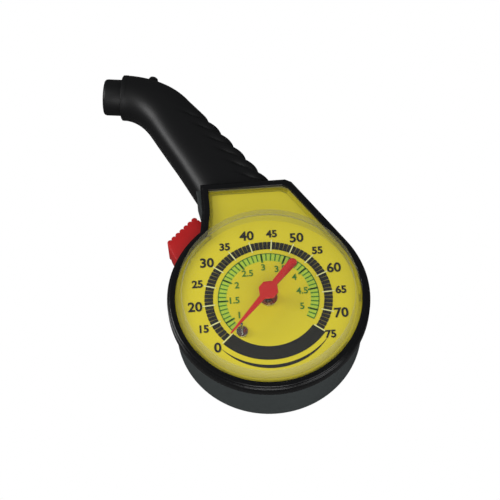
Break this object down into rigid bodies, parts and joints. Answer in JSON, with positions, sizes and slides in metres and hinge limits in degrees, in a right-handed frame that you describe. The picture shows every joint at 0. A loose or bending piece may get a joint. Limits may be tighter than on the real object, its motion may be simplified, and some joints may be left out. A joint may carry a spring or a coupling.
{
  "type": "tyre pressure gauge",
  "caption": "Hand-held dial tyre pressure gauge with a bent ribbed grip, a push-on valve chuck, a clear domed lens and a side release button.",
  "frame": {"origin": "middle of the rear case's flat back", "axes": "+Z out through the dial, +Y towards the neck that joins the head to the grip"},
  "size_m": [0.0893, 0.1337, 0.033],
  "materials": {
    "case_plastic": "satin black moulded plastic with a fine grain",
    "frame_plastic": "glossy black moulded plastic",
    "grip_plastic": "matte black moulded plastic",
    "lens_clear": "clear polystyrene, polished",
    "dial_print": "yellow printed dial, satin",
    "pointer_red": "red lacquer, semi gloss",
    "button_red": "red moulded plastic",
    "brass": "turned brass",
    "bronze": "drawn phosphor bronze",
    "steel": "bright zinc plated steel",
    "rubber": "black moulded rubber"
  },
  "bodies": {
    "housing": {"rear_case": "case_plastic", "front_frame": "frame_plastic", "lens": "lens_clear", "dial_plate": "dial_print", "dial_bush": "steel", "stop_pin": "steel", "plate_low": "brass", "plate_top": "brass", "pillars": "brass", "plate_screws": "steel", "back_screws": "steel", "manifold": "brass", "chamber_plug": "brass", "inlet_fitting": "brass", "bourdon_tube": "bronze", "hairspring": "bronze", "hairspring_stud": "brass", "button_spring": "steel", "check_spring": "steel", "air_hose": "rubber", "hose_ferrules": "steel", "grip_cover": "grip_plastic", "grip_base": "grip_plastic", "grip_screws": "steel", "chuck_nose": "grip_plastic", "valve_seal": "rubber", "depressor": "brass", "chuck_elbow": "brass"},
    "sector": {"sector_gear": "brass", "sector_arbor": "steel"},
    "link_bar": {"link": "steel"},
    "indicator": {"pinion_arbor": "steel", "pointer_boss": "brass", "pointer": "pointer_red"},
    "tip": {"tube_tip": "brass"},
    "button": {"release_button": "button_red", "release_stem": "steel", "release_pad": "rubber"},
    "check": {"check_poppet": "brass", "check_pad": "rubber"}
  },
  "joints": [
    {"name": "sector_turn", "type": "hinge", "parent": "housing", "child": "sector", "pos_m": [0.01493, -0.00149, 0.0086], "axis": [0, 0, 1], "range_deg": [0, 29.5], "stiffness_Nm_per_rad": 0.0002},
    {"name": "pointer_turn", "type": "hinge", "parent": "housing", "child": "indicator", "pos_m": [0, 0, 0.0086], "axis": [0, 0, 1], "range_deg": [-265.5, 0], "deforming": ["hairspring"]},
    {"name": "link_swing", "type": "hinge", "parent": "sector", "child": "link_bar", "pos_m": [0.00993, -0.00149, 0.0101], "axis": [0, 0, 1], "range_deg": [-34.98, 0]},
    {"name": "tip_flex", "type": "hinge", "parent": "housing", "child": "tip", "pos_m": [-0.00808, -0.01073, 0.01], "axis": [0, 0, 1], "range_deg": [-7.74, 0], "deforming": ["bourdon_tube"]},
    {"name": "button_press", "type": "slide", "parent": "housing", "child": "button", "axis": [0.6884, -0.7254, 0], "range_m": [0, 0.002], "stiffness_N_per_m": 1300, "deforming": ["button_spring"]},
    {"name": "check_valve_lift", "type": "slide", "parent": "housing", "child": "check", "axis": [-0.7254, -0.6884, 0], "range_m": [0, 0.001], "stiffness_N_per_m": 200, "deforming": ["check_spring"]}
  ],
  "couplings": [
    {"joint": "pointer_turn", "follows": "sector_turn", "ratio": -9},
    {"joint": "link_swing", "follows": "sector_turn", "ratio": -1.1858},
    {"joint": "tip_flex", "follows": "sector_turn", "ratio": -0.26234}
  ]
}
